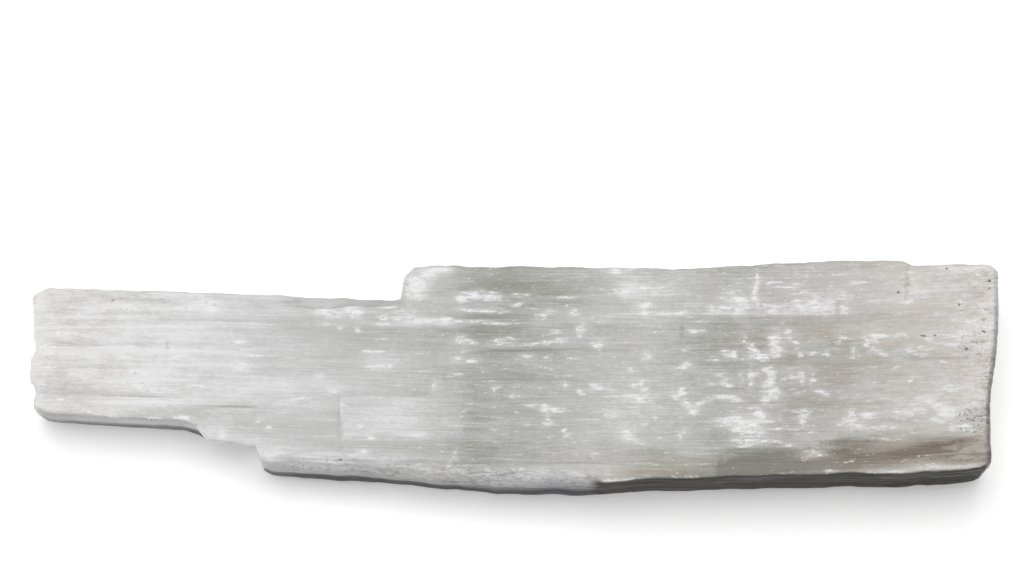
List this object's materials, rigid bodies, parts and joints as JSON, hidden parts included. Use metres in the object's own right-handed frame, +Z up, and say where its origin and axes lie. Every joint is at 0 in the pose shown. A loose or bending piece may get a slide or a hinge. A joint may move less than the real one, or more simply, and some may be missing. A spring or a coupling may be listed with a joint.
{
  "type": "selenite log",
  "caption": "Long raw slab of fibrous milky selenite with stepped long edges, split layers on its faces and broken ends, lying on a flat cleavage face.",
  "frame": {"origin": "in the resting face, at the centre of the log's box seen from above", "axes": "+X along the fibres towards the thicker end, +Y towards the back edge with the single square step, +Z up out of the broad upper face"},
  "size_m": [0.3998, 0.0949, 0.039],
  "materials": {
    "satin_spar": "silky split fibres, milky to translucent grey, with bruised white patches"
  },
  "bodies": {
    "root": {"selenite_log": "satin_spar"}
  },
  "joints": []
}
